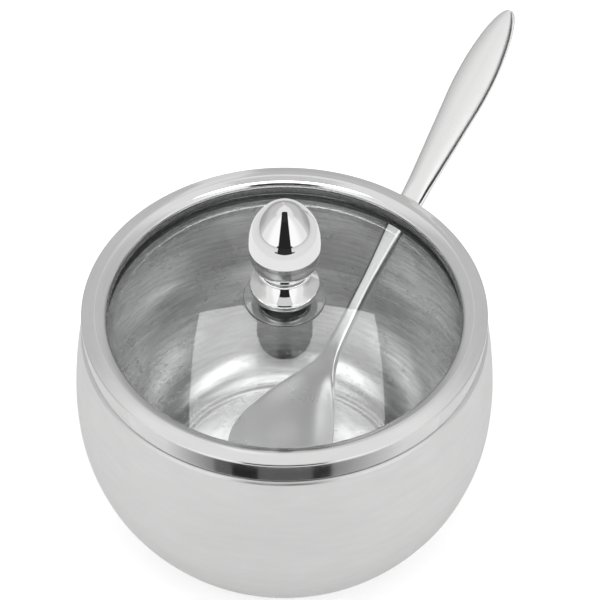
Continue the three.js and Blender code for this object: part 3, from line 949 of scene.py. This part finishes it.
def make_world(name):
    """A pale room with two large white panels in front, left and right, and a dark gap
    between them towards the camera. Angles are in degrees."""
    world = bpy.data.worlds.new(name)
    scene.world = world
    k = Nodes(world, "ShaderNodeOutputWorld")
    x, y, z = k.split(k.value("ShaderNodeTexCoord", output="Generated"))
    azimuth = abs(k.azimuth(x, y))                        # 0 towards the camera
    elevation = k.math("ARCSINE", z) * DEGREES
    back_azimuth = k.math("ARCTAN2", x, y) * DEGREES      # 0 at the back
    sideways = k.math("ARCSINE", abs(x)) * DEGREES        # away from the plane x = 0
    over = k.math("ARCTAN2", z, y * -1.0) * DEGREES       # 0 at the camera, 90 overhead

    # pale everywhere, darker low down at the back
    back = k.fall(abs(back_azimuth), 70, 100)
    low_wall = k.between(elevation, (-3, 1), (6, 26)) * back
    base = 0.88 - low_wall * 0.24
    base = base - back * k.fall(elevation, 46, 62) * 0.12

    # white panels on both sides of the gap, and the same white high up all round
    half = GAP_HALF - k.rise(over, *GAP_SPAN) * GAP_NARROWING
    beside_gap = k.math("MAXIMUM", k.rise(sideways - half, -0.7, 0.7), k.rise(over, 90, 93))
    panels = beside_gap * k.fall(azimuth, 79, 87)
    panels = panels * k.rise(elevation, -1, 2)
    panels = k.math("MAXIMUM", panels, beside_gap * k.rise(elevation, 46, 62))
    panel_glow = 0.50 - k.rise(azimuth, 42, 66) * 0.26

    # thin shaded border along the horizon
    border = k.between(elevation, (-7, -5), (-2, 1))
    # faint upright strip of light at the back, a little to the left
    strip = k.between(back_azimuth, (-10, -8.5), (-4, -2.5))
    strip = strip * k.between(elevation, (8, 20), (60, 66))

    # dark gap towards the camera, wider at its foot
    in_gap = k.fall(sideways - half, -0.7, 0.7)
    gap = in_gap * (k.fall(over, 55, 60) * k.rise(over, -6, -4))
    foot = k.fall(azimuth, 22, 25) * (k.fall(elevation, 3, 5) * k.rise(elevation, -6, -4))
    gap = k.math("MAXIMUM", gap, foot)

    light = base + (panels * panel_glow + strip * 0.3)
    light = light * (1.0 - border * 0.45)
    light = light * (1.0 - gap * 0.97)

    # by way of the glass the room is dimmer to the sides, apart from the white panels
    path = k.node("ShaderNodeLightPath")
    inside = k.out(path, "Transmission Depth") > 0.5
    panel_foot = 32.2 - k.fall(azimuth, 46, 56) * 11.0
    seen = panels * k.rise(elevation - panel_foot, 0, 1.0)
    # dimming from 0 in the middle up to 0.94 at the sides
    side_dimming = k.math("ADD", 0.0, k.rise(abs(x), 0.10, 0.42) * 0.94)
    dimming = inside * (side_dimming * (1.0 - seen * k.fall(elevation, 46, 54)))
    unlit = inside * (panels * panel_glow) * (1.0 - seen)
    light = (light - unlit) * (1.0 - dimming)

    room = k.value("ShaderNodeBackground", {"Strength": light})
    backdrop = k.value("ShaderNodeBackground", {"Strength": 1.0})
    k.finish(k.mix_shader(k.out(path, "Is Camera Ray"), room, backdrop))


make_world("studio")

# ------------------------------------------------------------------- lights --

LIGHT_TARGET = Vector((0, 0, 0.03))


def area_light(name, location, size, power):
    """A square lamp aimed at the bowl and hidden from reflections."""
    light = bpy.data.lights.new(name, "AREA")
    light.shape = "RECTANGLE"
    light.size = light.size_y = size
    light.energy = power
    obj = new_object(name, light)
    obj.location = location
    direction = LIGHT_TARGET - Vector(location)
    obj.rotation_euler = direction.to_track_quat("-Z", "Y").to_euler()
    obj.visible_glossy = False


area_light("key_left", (-0.55, -0.45, 0.65), size=0.5, power=0.5)
area_light("key_right", (0.55, -0.45, 0.65), size=0.5, power=0.5)
area_light("top", (0, 0.15, 0.9), size=0.7, power=0.6)

# --------------------------------------------------------- camera and render --

CAMERA_PLACE = Vector((0.1714, -243.289, 323.122)) * MM
CAMERA_TARGET = Vector((3.2617, 0, 63.709)) * MM
CAMERA_ROLL = 0.009453     # radians

lens = bpy.data.cameras.new("camera")
lens.sensor_fit = "HORIZONTAL"
lens.sensor_width = 36.0
lens.lens = 100.161
lens.clip_start = 0.01
lens.clip_end = 20
camera = new_object("camera", lens)
aim = (CAMERA_TARGET - CAMERA_PLACE).to_track_quat("-Z", "Y").to_matrix().to_4x4()
camera.matrix_world = (Matrix.Translation(CAMERA_PLACE) @ aim
                       @ Matrix.Rotation(CAMERA_ROLL, 4, "Z"))
scene.camera = camera

# steel inside a glass-topped bowl needs more mirror bounces than usual
scene.cycles.max_bounces = 16
scene.cycles.glossy_bounces = 10
scene.cycles.transmission_bounces = 14
scene.cycles.transparent_max_bounces = 24
scene.view_settings.view_transform = "Standard"
scene.view_settings.look = "None"
scene.view_settings.exposure = 0.0
scene.view_settings.gamma = 1.0
